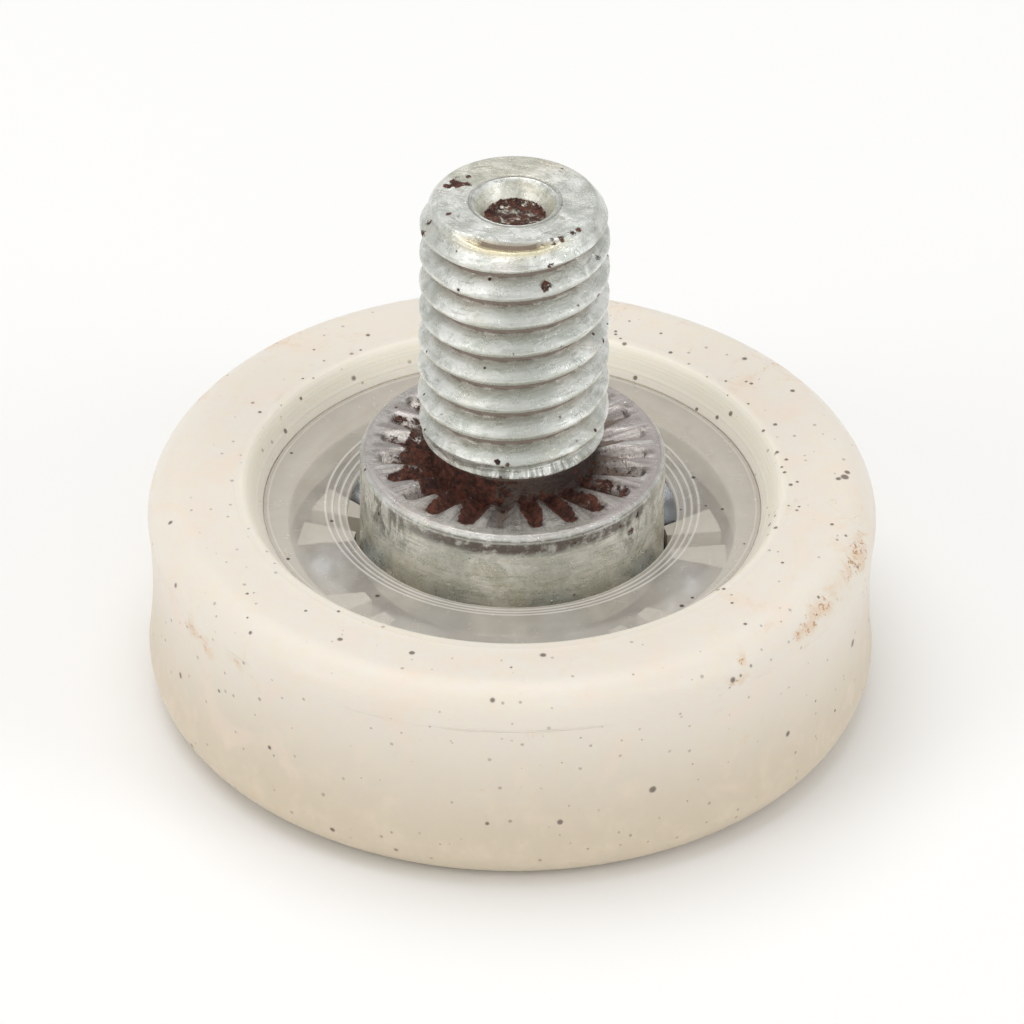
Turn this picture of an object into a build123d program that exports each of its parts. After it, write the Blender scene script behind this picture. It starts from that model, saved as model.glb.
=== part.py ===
from build123d import *
import math
import os

# Drawer roller: a moulded wheel turning on seven steel balls around the collar of a threaded stud.
# Millimetres. +Z runs along the axle towards the tip of the stud.
# The origin is on the axle, in the plane of the wheel's back face, on which the roller stands.

# Wheel
wheel_radius = 11.0
wheel_width = 7.0
tread_hollow = 0.13
front_edge_radius = 1.1
back_edge_radius = 1.4
recess_mouth_radius = 8.1
recess_lip_chamfer = 0.25
shield_recess = 0.8
race_shoulder_height = 0.46

# Bearing
ball_radius = 1.5
ball_count = 7
first_ball_angle = -68.5
ball_clearance = 0.03
groove_clearance = 0.06
inner_race_radius = 4.15
inner_land_radius = 4.6

# Shields
shield_radius = 7.5
shield_thickness = 0.6
shield_fit = 0.02
shield_bead = 0.12
shield_bore_clearance = 0.37
lip_steps = 3
lip_step_width = 0.21
lip_step_drop = 0.06

# Ball cage
cage_clearance = 0.25
cage_floor_gap = 0.15
pocket_clearance = 0.08
horn_rise = 0.85
horn_slot_width = 0.7
horn_slot_depth = 1.1

# Stud
collar_face_height = 8.25
collar_edge_chamfer = 0.15
stud_back_gap = 0.4
stud_back_chamfer = 0.4
stud_length = 9.0
neck_radius = 2.35
neck_height = 0.65
tip_radius = 2.44
tip_height = 0.65
dimple_radius = 1.26
dimple_floor_radius = 0.8
dimple_depth = 0.7
back_dimple_radius = 1.0
back_dimple_depth = 0.6

# Thread on the shank
thread_radius = 2.9
thread_pitch = 1.0
thread_depth = 0.53
thread_crest_width = 0.13
thread_root_width = 0.16
thread_runout = 0.4
thread_first_groove = 1.81

# Serrations on the collar's face
serration_count = 23
serration_phase = -95.0
serration_outer_radius = 4.12
serration_outer_depth = 0.19
serration_neck_depth = 0.46
serration_half_angle = 50.0
serration_neck_gap = 0.05

# Bearing sizes that follow from the ball
ball_plane = wheel_width / 2
pitch_radius = inner_race_radius + ball_radius + ball_clearance
outer_race_radius = pitch_radius + ball_radius + ball_clearance
groove_radius = ball_radius + groove_clearance
outer_land_radius = outer_race_radius - race_shoulder_height
shield_seat_front = wheel_width - shield_recess - shield_thickness
shield_seat_back = wheel_width - shield_seat_front


def revolved(*outline):
    """Turn a closed outline of edges, drawn in the XZ plane, about the axle."""
    return revolve(make_face(Wire(list(outline))), Axis.Z)


def path(*points):
    """Straight edges through points given as (radius, height)."""
    return Polyline(*[(radius, 0, height) for radius, height in points]).edges()


def arc(start, middle, end):
    """An arc through three points given as (radius, height)."""
    return ThreePointArc(*[(radius, 0, height) for radius, height in (start, middle, end)])


def ball_race(radius):
    """The ring cut by the balls, with its groove centred at the given radius."""
    section = Location((radius, 0, ball_plane), (90, 0, 0)) * Circle(groove_radius)
    return revolve(section, Axis.Z)


def ring(inner, outer, bottom, top):
    """A plain ring between two radii and two heights."""
    return revolved(*path((inner, bottom), (outer, bottom), (outer, top), (inner, top), (inner, bottom)))


def shield_outline(fit):
    """Half section of a shield, front face up, with its snap bead, larger all round by the fit."""
    rim = shield_radius + fit
    bead = rim + shield_bead
    middle = shield_thickness / 2
    return [(rim, 0), (bead, middle), (rim, shield_thickness)]


def make_wheel():
    outer_hollow = wheel_radius - tread_hollow
    front_arc_start = wheel_width - front_edge_radius
    corner = 1 - math.sqrt(0.5)
    tread = [
        arc(
            (wheel_radius - back_edge_radius, 0),
            (wheel_radius - corner * back_edge_radius, corner * back_edge_radius),
            (wheel_radius, back_edge_radius),
        ),
        arc(
            (wheel_radius, back_edge_radius),
            (outer_hollow, (back_edge_radius + front_arc_start) / 2),
            (wheel_radius, front_arc_start),
        ),
        arc(
            (wheel_radius, front_arc_start),
            (wheel_radius - corner * front_edge_radius, wheel_width - corner * front_edge_radius),
            (wheel_radius - front_edge_radius, wheel_width),
        ),
    ]
    inside = path(
        (wheel_radius - front_edge_radius, wheel_width),
        (outer_land_radius, wheel_width),
        (outer_land_radius, 0),
        (wheel_radius - back_edge_radius, 0),
    )
    wheel = revolved(*tread, *inside)
    for flip in (False, True):
        wheel -= recess_cutter(flip)
    wheel -= ball_race(outer_race_radius - groove_radius)
    return wheel


def recess_cutter(flip):
    """The space in one face of the wheel for a shield and the bevel that leads in to it."""
    seat = [(radius, height + shield_seat_front) for radius, height in shield_outline(shield_fit)]
    bevel_foot = (shield_radius + shield_fit, wheel_width - shield_recess)
    bevel_slope = math.atan2(shield_recess, recess_mouth_radius - bevel_foot[0])
    on_bevel = (
        recess_mouth_radius - recess_lip_chamfer * math.cos(bevel_slope),
        wheel_width - recess_lip_chamfer * math.sin(bevel_slope),
    )
    on_face = (recess_mouth_radius + recess_lip_chamfer, wheel_width)
    above = wheel_width + 1
    outline = [(0, shield_seat_front), *seat, on_bevel, on_face, (on_face[0], above), (0, above)]
    cutter = revolved(*path(*outline, outline[0]))
    if flip:
        cutter = mirror(cutter, Plane.XY.offset(ball_plane))
    return cutter


def make_shield():
    """The front shield, with its fine steps falling to the lip around the collar."""
    bore = inner_land_radius + shield_bore_clearance
    steps = []
    for step in range(lip_steps):
        top = shield_thickness - step * lip_step_drop
        riser = bore + (lip_steps - step) * lip_step_width
        steps += [(riser, top), (riser, top - lip_step_drop)]
    lip = (bore, shield_thickness - lip_steps * lip_step_drop)
    outline = [(bore, 0), *shield_outline(0), *steps, lip, (bore, 0)]
    return Pos(0, 0, shield_seat_front) * revolved(*path(*outline))


def make_cage():
    """A crown cage: a ring behind the balls, with two horns closing over each of them."""
    bottom = shield_seat_back + cage_floor_gap
    top = ball_plane + horn_rise
    cage = ring(inner_land_radius + cage_clearance, outer_land_radius - cage_clearance, bottom, top)
    pocket = Rot(0, 90, 0) * Cylinder(ball_radius + pocket_clearance, 2 * outer_land_radius)
    slot = Box(2 * outer_land_radius, horn_slot_width, 2 * horn_slot_depth)
    for index in range(ball_count):
        half_pitch = 180 / ball_count
        cage -= Rot(0, 0, ball_angle(index)) * Pos(outer_land_radius, 0, ball_plane) * pocket
        cage -= Rot(0, 0, ball_angle(index) + half_pitch) * Pos(outer_land_radius, 0, top) * slot
    return cage


def ball_angle(index):
    return first_ball_angle + index * 360 / ball_count


def ball_centre(index):
    angle = math.radians(ball_angle(index))
    return (pitch_radius * math.cos(angle), pitch_radius * math.sin(angle), ball_plane)


def make_stud():
    """The one-piece stud: inner race, collar, necked root and threaded shank, turned on centres."""
    tip = collar_face_height + stud_length
    thread_start = collar_face_height + neck_height + thread_runout
    stud = revolved(
        *path(
            (0, stud_back_gap),
            (inner_land_radius - stud_back_chamfer, stud_back_gap),
            (inner_land_radius, stud_back_gap + stud_back_chamfer),
            (inner_land_radius, collar_face_height - collar_edge_chamfer),
            (inner_land_radius - collar_edge_chamfer, collar_face_height),
            (neck_radius, collar_face_height),
            (neck_radius, collar_face_height + neck_height),
            (thread_radius, thread_start),
            *thread_grooves(),
            (thread_radius, tip - tip_height),
            (tip_radius, tip),
            (0, tip),
            (0, stud_back_gap),
        )
    )
    stud -= ball_race(inner_race_radius + groove_radius)
    tip_dimple = Cone(dimple_floor_radius, dimple_radius, dimple_depth)
    stud -= Pos(0, 0, tip - dimple_depth / 2) * tip_dimple
    back_dimple = Cone(back_dimple_radius, 0, back_dimple_depth)
    stud -= Pos(0, 0, stud_back_gap + back_dimple_depth / 2) * back_dimple
    return stud - serration_cutters()


def thread_grooves():
    """The thread as V grooves one pitch apart, drawn as plain rings so that every crest stays round."""
    root_radius = thread_radius - thread_depth
    root_half = thread_root_width / 2
    crest_half = (thread_pitch - thread_crest_width) / 2
    first = collar_face_height + thread_first_groove
    room = collar_face_height + stud_length - tip_height - crest_half - first
    outline = []
    for groove in range(int(room / thread_pitch) + 1):
        middle = first + groove * thread_pitch
        outline += [
            (thread_radius, middle - crest_half),
            (root_radius, middle - root_half),
            (root_radius, middle + root_half),
            (thread_radius, middle + crest_half),
        ]
    return outline


def serration_cutters():
    """V grooves that start bluntly near the collar's edge and deepen towards the neck."""
    inner_radius = neck_radius + serration_neck_gap
    rise = 2 * serration_neck_depth
    half_width = rise * math.tan(math.radians(serration_half_angle))
    root = Vector(inner_radius, 0, collar_face_height - serration_neck_depth)
    run = Vector(serration_outer_radius, 0, collar_face_height - serration_outer_depth) - root
    section = Wire.make_polygon([root, root + (0, half_width, rise), root + (0, -half_width, rise)])
    groove = extrude(Face(section), amount=run.length, dir=run.normalized())
    step = 360 / serration_count
    return [Rot(0, 0, serration_phase + index * step) * groove for index in range(serration_count)]


shield = make_shield()
pieces = {
    "stud": make_stud(),
    "wheel": make_wheel(),
    "front_shield": shield,
    "rear_shield": mirror(shield, Plane.XY.offset(ball_plane)),
    "ball_cage": make_cage(),
}
for index in range(ball_count):
    pieces[f"ball_{index + 1}"] = Pos(*ball_centre(index)) * Sphere(ball_radius)

os.makedirs("parts", exist_ok=True)
for name, piece in pieces.items():
    export_step(piece, f"parts/{name}.step")
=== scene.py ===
import math

import bmesh
import bpy
import numpy as np
from mathutils import Matrix, Vector


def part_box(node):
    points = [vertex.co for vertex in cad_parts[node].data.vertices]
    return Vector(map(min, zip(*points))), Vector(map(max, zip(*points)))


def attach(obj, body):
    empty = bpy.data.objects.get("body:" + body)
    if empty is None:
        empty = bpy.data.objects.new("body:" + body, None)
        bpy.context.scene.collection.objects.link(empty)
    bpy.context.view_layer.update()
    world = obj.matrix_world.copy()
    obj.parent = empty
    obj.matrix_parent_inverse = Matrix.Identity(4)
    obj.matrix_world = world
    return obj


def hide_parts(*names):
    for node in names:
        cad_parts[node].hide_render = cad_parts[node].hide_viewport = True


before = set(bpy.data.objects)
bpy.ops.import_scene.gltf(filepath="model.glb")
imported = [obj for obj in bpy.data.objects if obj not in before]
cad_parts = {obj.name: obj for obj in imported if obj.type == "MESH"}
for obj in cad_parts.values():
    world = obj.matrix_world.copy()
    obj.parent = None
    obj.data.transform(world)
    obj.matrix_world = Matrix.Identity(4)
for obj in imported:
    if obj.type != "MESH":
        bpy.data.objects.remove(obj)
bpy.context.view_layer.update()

# Sizes are in millimetres here, the unit of the part's own drawing, and MM turns them into metres.
MM = 0.001

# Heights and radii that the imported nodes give.
wheel_high = np.array(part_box("wheel")[1]) / MM
stud_low, stud_high = [np.array(corner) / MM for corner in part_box("stud")]
shield_low, shield_high = [np.array(corner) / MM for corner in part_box("front_shield")]
WHEEL_RADIUS = wheel_high[0]
WHEEL_WIDTH = wheel_high[2]
STUD_BACK = stud_low[2]
STUD_TIP = stud_high[2]
COLLAR_RADIUS = stud_high[0]
SHIELD_TOP = shield_high[2]
SHIELD_THICKNESS = shield_high[2] - shield_low[2]

# Wheel
TREAD_HOLLOW = 0.13
FRONT_EDGE = 1.1
BACK_EDGE = 1.4
RECESS_MOUTH = 8.1
RECESS_LIP = 0.35
SHIELD_RADIUS = 7.5
SHIELD_BEAD = 0.12
SHIELD_FIT = 0.02
RACE_LAND = 6.75
RACE_GROOVE = 1.56
RACE_POINTS = 9
OUTER_RACE = 7.21
INNER_RACE = 4.15
WHEEL_COLUMNS = 384

# Shield
SHIELD_BORE = COLLAR_RADIUS + 0.37
LIP_STEPS = 3
LIP_STEP_WIDTH = 0.21
LIP_STEP_DROP = 0.06
SHIELD_COLUMNS = 256

# Stud
BACK_CHAMFER = 0.4
BACK_DIMPLE_RADIUS = 1.0
BACK_DIMPLE_FLOOR = 0.25
BACK_DIMPLE_DEPTH = 0.5
COLLAR_FACE = 8.25
COLLAR_CHAMFER = 0.15
COLLAR_BAND = 2.0
NECK_RADIUS = 2.35
NECK_TOP = 8.9
NECK_POINTS = 7
THREAD_RADIUS = 2.9
THREAD_PITCH = 1.0
THREAD_DEPTH = 0.50
THREAD_PHASE = 0.18
THREAD_ROOT_HALF = 0.06
THREAD_FLANK = 0.40
THREAD_ROUNDING = 1.35
THREAD_WEAR = 0.02
THREAD_WAVER = 0.02
THREAD_TAPER = 0.05
THREAD_RUNOUT_RADIUS = 2.74
THREAD_START = NECK_TOP + 0.12
THREAD_FADE_IN = 0.5
THREAD_END = STUD_TIP + 0.35
THREAD_FADE_OUT = 1.0
THREAD_ROW = 1 / 20
TIP_RADIUS = 2.44
TIP_HEIGHT = 0.65
TIP_FLAT = 1.95
DIMPLE_RADIUS = 1.26
DIMPLE_FLOOR = 0.8
DIMPLE_DEPTH = 0.7
SERRATIONS = 23
SERRATION_PHASE = -95.0
SERRATION_OUTER = 4.12
SERRATION_OUTER_DEPTH = 0.19
SERRATION_NECK_DEPTH = 0.46
SERRATION_SLOPE = 0.76
SERRATION_END = 0.12
SERRATION_ROW = 0.07
STUD_COLUMNS = SERRATIONS * 12

# How much the serrations differ from one another: in degrees, in reach and as a share of their depth.
SERRATION_TURN_SPREAD = 1.0
SERRATION_REACH_SPREAD = 0.07
SERRATION_DEPTH_SPREAD = 0.12

# The step in the stud's rim, at the front of its tip.
STEP_RADIUS = 2.2
STEP_RADIUS_BESIDE = 0.25
STEP_OUTER = 2.72
STEP_DROP = 0.2
STEP_LINE = 0.19

# Slack for telling which stretch of the outline a point is on.
SLACK = 0.01

# Sides of the stud, each with the azimuth that it faces and its reach from there, in degrees.
STEP_SIDE = (-95, 40)
THIN_FILM_SIDE = (-92, 34)
THICK_FILM_SIDE = (-5, 65)
SHADED_SIDE = (-76, 24)
TARNISHED_SIDE = (100, 60)
RUSTED_SIDE = (-150, 52)
SCRATCHED_SIDE = (-150, 17)
FAINT_SCRATCHED_SIDE = (-36, 11)
THREAD_SCRATCHED_SIDE = (-78, 38)
BURRED_SIDE = (-82, 58)

# Heights between which the collar and the lowest turn of the thread are scratched.
COLLAR_SCRATCHES = (6.6, 8.1)
THREAD_SCRATCHES = (8.98, 9.36)

# How dark the hollow mark makes the neck, the foot of the rim's step and the dimple's floor, as
# painted shade with some dirt.
NECK_HOLLOW = 1.02
STEP_HOLLOW = 1.05
DIMPLE_HOLLOW = 0.88
DIMPLE_RUST = 0.80

# Radius that the rust round the neck reaches on the collar's face, and the width of its edge.
NECK_RUST = 2.85
NECK_RUST_FADE = 0.4

# The film on the collar's face and the neck: its strength, less in front and more on the right.
FILM = 0.72
FILM_IN_FRONT = 0.20
FILM_ON_RIGHT = 0.12

# The rough band under the collar's edge.
BURR_DEPTH = 0.70
BURR_WAVER = 0.12
BURR_TOP = 0.24

FLOOR_HALF_WIDTH = 2.0


def rounded(corners, spacing=0.25, closed=False):
    """Points along a polyline of (radius, height, fillet) corners, with each fillet as an arc."""
    corners = [(*corner, 0.0)[:3] for corner in corners]
    count = len(corners)
    track = []
    for index, (x, y, fillet) in enumerate(corners):
        here = np.array([x, y])
        inner = closed or 0 < index < count - 1
        if fillet <= 0 or not inner:
            track.append([here])
            continue
        before = np.array(corners[index - 1][:2]) - here
        after = np.array(corners[(index + 1) % count][:2]) - here
        before /= np.linalg.norm(before)
        after /= np.linalg.norm(after)
        half = math.acos(np.clip(before @ after, -1, 1)) / 2
        reach = fillet / math.tan(half)
        middle = (before + after) / np.linalg.norm(before + after)
        centre = here + middle * fillet / math.sin(half)
        start = here + before * reach - centre
        end = here + after * reach - centre
        turn = math.pi - 2 * half
        side = np.sign(start[0] * end[1] - start[1] * end[0])
        steps = max(3, int(math.ceil(turn * fillet / (spacing * 0.5))), int(turn / 0.25))
        arc = []
        for step in range(steps + 1):
            a = side * turn * step / steps
            spin = np.array([[math.cos(a), -math.sin(a)], [math.sin(a), math.cos(a)]])
            arc.append(centre + spin @ start)
        track.append(arc)
    points = []
    for index, stretch in enumerate(track):
        points += stretch
        if index == count - 1 and not closed:
            break
        start, end = stretch[-1], track[(index + 1) % count][0]
        steps = int(np.linalg.norm(end - start) // spacing)
        points += [start + (end - start) * step / (steps + 1) for step in range(1, steps + 1)]
    return np.array(points)


def arc_points(centre, radius, start, end, steps):
    """Points on an arc given by its centre and two angles in degrees."""
    angles = np.radians(np.linspace(start, end, steps))
    return [(centre[0] + radius * math.cos(a), centre[1] + radius * math.sin(a)) for a in angles]


def lathe(name, profile, columns, shape=None, closed=True):
    """A surface turned about the axle. shape(angle, radius, height) may move its points."""
    angles = np.linspace(0, 2 * math.pi, columns, endpoint=False)
    radius = np.repeat(profile[:, :1], columns, axis=1)
    height = np.repeat(profile[:, 1:2], columns, axis=1)
    angle = np.repeat(angles[None, :], len(profile), axis=0)
    marks = {}
    if shape:
        radius, height, marks = shape(angle, radius, height)
    grid = np.stack([radius * np.cos(angle), radius * np.sin(angle), height], axis=-1)
    rows = len(profile)
    if closed:
        verts = grid.reshape(-1, 3)
        first = 0
    else:
        start, end = grid[0].mean(axis=0), grid[-1].mean(axis=0)
        verts = np.concatenate([[start], grid[1:-1].reshape(-1, 3), [end]])
        first = 1
        rows -= 2
    index = first + np.arange(rows * columns).reshape(rows, columns)
    turned = np.roll(index, -1, axis=1)
    bands = rows if closed else rows - 1
    faces = []
    for row in range(bands):
        above = (row + 1) % rows
        quads = np.stack([index[row], turned[row], turned[above], index[above]], axis=-1)
        faces += quads.tolist()
    if not closed:
        last = len(verts) - 1
        faces += [[0, turned[0, c], index[0, c]] for c in range(columns)]
        faces += [[last, index[-1, c], turned[-1, c]] for c in range(columns)]
    mesh = bpy.data.meshes.new(name)
    mesh.from_pydata((verts * MM).tolist(), [], [[int(i) for i in face] for face in faces])
    for mark, values in marks.items():
        layer = mesh.attributes.new(mark, "FLOAT", "POINT")
        if closed:
            flat = values.reshape(-1)
        else:
            flat = np.concatenate([[values[0, 0]], values[1:-1].reshape(-1), [values[-1, 0]]])
        layer.data.foreach_set("value", flat.astype(np.float32))
    piece = bpy.data.objects.new(name, mesh)
    bpy.context.scene.collection.objects.link(piece)
    mesh.polygons.foreach_set("use_smooth", [True] * len(mesh.polygons))
    mesh.set_sharp_from_angle(angle=math.radians(38))
    fix_winding(mesh)
    return piece


def fix_winding(mesh):
    """Turn the faces so that the closed surface has its outside facing out."""
    work = bmesh.new()
    work.from_mesh(mesh)
    bmesh.ops.recalc_face_normals(work, faces=work.faces)
    work.to_mesh(mesh)
    work.free()


def wave_noise(angle, height, waves, seed):
    """Smooth noise around the axle: a sum of a few seeded waves, about -1 to 1."""
    draw = np.random.default_rng(seed)
    total = np.zeros_like(angle)
    for _ in range(waves):
        turns = draw.integers(1, 24)
        total += np.sin(turns * angle + draw.uniform(0.5, 5) * height + draw.uniform(0, 6.3))
    return total / waves


# Materials


class Material:
    """A node material with short calls for the nodes that it is built from."""

    def __init__(self, name):
        self.material = bpy.data.materials.new(name)
        self.material.use_nodes = True
        self.nodes = self.material.node_tree.nodes
        self.links = self.material.node_tree.links
        self.nodes.clear()
        self.output = self.nodes.new("ShaderNodeOutputMaterial")
        place = self.nodes.new("ShaderNodeTexCoord").outputs["Object"]
        self.place = self.vector("SCALE", place, scale=1 / MM)

    def put(self, socket, value):
        if isinstance(value, bpy.types.NodeSocket):
            self.links.new(value, socket)
        elif value is not None:
            socket.default_value = value

    def vector(self, operation, a, b=None, scale=None):
        node = self.nodes.new("ShaderNodeVectorMath")
        node.operation = operation
        self.put(node.inputs[0], a)
        self.put(node.inputs[1], b)
        if scale is not None:
            self.put(node.inputs["Scale"], scale)
        return node.outputs["Value" if operation == "DISTANCE" else "Vector"]

    def math(self, operation, a, b=None, clamp=False):
        node = self.nodes.new("ShaderNodeMath")
        node.operation = operation
        node.use_clamp = clamp
        self.put(node.inputs[0], a)
        self.put(node.inputs[1], b)
        return node.outputs[0]

    def times(self, a, b, clamp=False):
        return self.math("MULTIPLY", a, b, clamp)

    def plus(self, a, b, clamp=False):
        return self.math("ADD", a, b, clamp)

    def minus(self, a, b, clamp=False):
        return self.math("SUBTRACT", a, b, clamp)

    def larger(self, a, b):
        return self.math("MAXIMUM", a, b)

    def gap(self, a, b):
        """How far apart two values are."""
        return self.math("ABSOLUTE", self.minus(a, b))

    def noise(self, scale, detail=3.0, roughness=0.55, at=None, distortion=0.0):
        node = self.nodes.new("ShaderNodeTexNoise")
        self.put(node.inputs["Vector"], at or self.place)
        self.put(node.inputs["Scale"], scale)
        self.put(node.inputs["Detail"], detail)
        self.put(node.inputs["Roughness"], roughness)
        self.put(node.inputs["Distortion"], distortion)
        return node.outputs["Fac"]

    def cells(self, scale):
        node = self.nodes.new("ShaderNodeTexVoronoi")
        self.put(node.inputs["Vector"], self.place)
        self.put(node.inputs["Scale"], scale)
        return node.outputs["Distance"], node.outputs["Color"]

    def fade(self, value, low, high, to_low=0.0, to_high=1.0):
        node = self.nodes.new("ShaderNodeMapRange")
        node.interpolation_type = "SMOOTHSTEP"
        self.put(node.inputs["Value"], value)
        self.put(node.inputs["From Min"], low)
        self.put(node.inputs["From Max"], high)
        self.put(node.inputs["To Min"], to_low)
        self.put(node.inputs["To Max"], to_high)
        return node.outputs["Result"]

    def blend(self, amount, a, b):
        node = self.nodes.new("ShaderNodeMix")
        node.data_type = "RGBA"
        self.put(node.inputs["Factor"], amount)
        self.put(node.inputs["A"], (*a, 1.0) if isinstance(a, tuple) else a)
        self.put(node.inputs["B"], (*b, 1.0) if isinstance(b, tuple) else b)
        return node.outputs["Result"]

    def mark(self, name):
        node = self.nodes.new("ShaderNodeAttribute")
        node.attribute_name = name
        return node.outputs["Fac"]

    def split(self):
        """The place's three coordinates and its distance from the axle, in millimetres."""
        node = self.nodes.new("ShaderNodeSeparateXYZ")
        self.put(node.inputs[0], self.place)
        x, y, z = node.outputs
        square = self.plus(self.times(x, x), self.times(y, y))
        return x, y, z, self.math("SQRT", square)

    def parts(self):
        """Height and distance from the axle, in millimetres."""
        _, _, height, radius = self.split()
        return height, radius

    def around(self, turning, rising, outward=0.0):
        """A place for noise that closes up around the axle, stretched along rim, axle and radius."""
        x, y, z, radius = self.split()
        radius = self.larger(radius, 0.05)
        east = self.times(self.math("DIVIDE", x, radius), turning)
        north = self.times(self.math("DIVIDE", y, radius), turning)
        east = self.plus(east, self.times(radius, outward))
        return self.joined(east, north, self.times(z, rising))

    def joined(self, x, y, z):
        node = self.nodes.new("ShaderNodeCombineXYZ")
        for socket, value in zip(node.inputs, (x, y, z)):
            self.put(socket, value)
        return node.outputs[0]

    def bump(self, height, distance, strength=1.0, normal=None):
        node = self.nodes.new("ShaderNodeBump")
        self.put(node.inputs["Height"], height)
        self.put(node.inputs["Distance"], distance * MM)
        self.put(node.inputs["Strength"], strength)
        if normal is not None:
            self.put(node.inputs["Normal"], normal)
        return node.outputs["Normal"]

    def finish(self, **values):
        shader = self.nodes.new("ShaderNodeBsdfPrincipled")
        for name, value in values.items():
            socket = shader.inputs[name.replace("_", " ")]
            if isinstance(value, tuple) and len(value) == 3 and socket.type == "RGBA":
                value = (*value, 1.0)
            self.put(socket, value)
        self.links.new(shader.outputs[0], self.output.inputs["Surface"])
        return self.material


def specks(m, scale, crowd, size):
    """Scattered dots: some of the cells of a grid hold one, each of its own size."""
    distance, colour = m.cells(scale)
    channels = m.nodes.new("ShaderNodeSeparateColor")
    m.put(channels.inputs[0], colour)
    held = m.math("LESS_THAN", channels.outputs[0], crowd)
    reach = m.times(m.plus(channels.outputs[1], 0.35), size)
    dot = m.minus(1.0, m.math("DIVIDE", distance, reach), clamp=True)
    return m.times(m.fade(dot, 0.0, 0.6), held)


def spots(m, places):
    """Single dots, each given by its azimuth, radius and height and its own half width."""
    total = None
    for azimuth, radius, height, reach in places:
        a = math.radians(azimuth)
        away = m.vector("DISTANCE", m.place, (radius * math.cos(a), radius * math.sin(a), height))
        dot = m.fade(away, reach, reach * 0.5)
        total = dot if total is None else m.larger(total, dot)
    return total


def wheel_material():
    """Cream plastic: darker and warmer towards the bottom, stained and specked, with a faint parting
    line and painted light on the slope into the recess.
    """
    m = Material("moulded_wheel")
    height, radius = m.parts()
    cloud = m.noise(0.22, 4.0, 0.6)
    mottle = m.noise(1.1, 5.0, 0.6)
    cream = m.blend(cloud, (0.82, 0.755, 0.655), (0.86, 0.81, 0.735))
    # Darker and warmer towards the bottom, going by height alone.
    darker_below = m.fade(m.minus(height, m.times(cloud, 2.0)), 5.6, 0.0, 0.0, 0.9)
    cream = m.blend(darker_below, cream, (0.66, 0.565, 0.425))
    cream = m.blend(m.fade(mottle, 0.45, 0.75, 0.0, 0.3), cream, (0.85, 0.74, 0.58))
    blush = m.noise(0.45, 3.0, 0.5, distortion=0.8)
    cream = m.blend(m.fade(blush, 0.52, 0.72, 0.0, 0.35), cream, (0.88, 0.72, 0.60))

    stain = m.mark("stain")
    wash = m.noise(1.6, 5.0, 0.7, distortion=0.6)
    wash = m.fade(m.plus(wash, m.times(stain, 0.30)), 0.60, 0.90, 0.0, 0.52)
    cream = m.blend(wash, cream, (0.76, 0.53, 0.32))
    grit = m.plus(m.noise(5.5, 5.0, 0.75, distortion=0.4), m.times(stain, 0.21))
    cream = m.blend(m.fade(grit, 0.72, 0.79, 0.0, 0.85), cream, (0.56, 0.29, 0.14))
    cream = m.blend(m.fade(grit, 0.80, 0.86, 0.0, 0.8), cream, (0.24, 0.11, 0.055))

    # Painted light: the slope into the recess is made paler, standing in for light that comes through
    # the translucent plastic there.
    painted_bevel_light = m.fade(radius, RECESS_MOUTH + 0.25, RECESS_MOUTH - 0.05, 0.0, 0.85)
    cream = m.blend(painted_bevel_light, cream, (0.98, 0.905, 0.785))
    crowd = m.fade(m.noise(0.16, 2.0, 0.5), 0.42, 0.62, 0.18, 0.70)
    dots = specks(m, 1.15, crowd, 0.11)
    small = m.times(specks(m, 3.4, 0.3, 0.2), m.fade(stain, 0.05, 0.5, 0.5, 1.0))
    dirt = m.larger(dots, m.larger(small, spots(m, WHEEL_SPOTS)))
    cream = m.blend(m.times(dirt, 0.85), cream, (0.15, 0.105, 0.08))

    seam_gap = m.gap(height, m.fade(cloud, 0.3, 0.7, SEAM - 0.03, SEAM + 0.03))
    seam = m.fade(seam_gap, 0.05, 0.01)
    seam = m.times(seam, m.fade(m.noise(0.3, 3.0, 0.6), 0.4, 0.65))
    seam = m.times(seam, m.fade(radius, WHEEL_RADIUS - 0.3, WHEEL_RADIUS - 0.1))
    turning = m.noise(5.0, 2.0, 0.6, at=m.joined(radius, height, 0.0))
    near_lip = m.fade(radius, RECESS_MOUTH + 0.6, RECESS_MOUTH + 0.2, 0.06, 1.0)
    grain = m.noise(9.0, 4.0, 0.6)
    normal = m.bump(m.noise(0.9, 3.0, 0.5), 0.05, 0.5)
    normal = m.bump(m.times(turning, near_lip), 0.05, 0.8, normal)
    normal = m.bump(grain, 0.012, 0.6, normal)
    normal = m.bump(m.minus(m.times(seam, 0.8), dirt), 0.05, 0.8, normal)
    rough = m.fade(mottle, 0.3, 0.8, 0.36, 0.48)
    rough = m.plus(rough, m.times(wash, 0.3))
    return m.finish(
        Base_Color=cream,
        Roughness=rough,
        Normal=normal,
        IOR=1.5,
        Subsurface_Weight=0.35,
        Subsurface_Radius=(1.0, 0.8, 0.55),
        Subsurface_Scale=1.2 * MM,
    )


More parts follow.
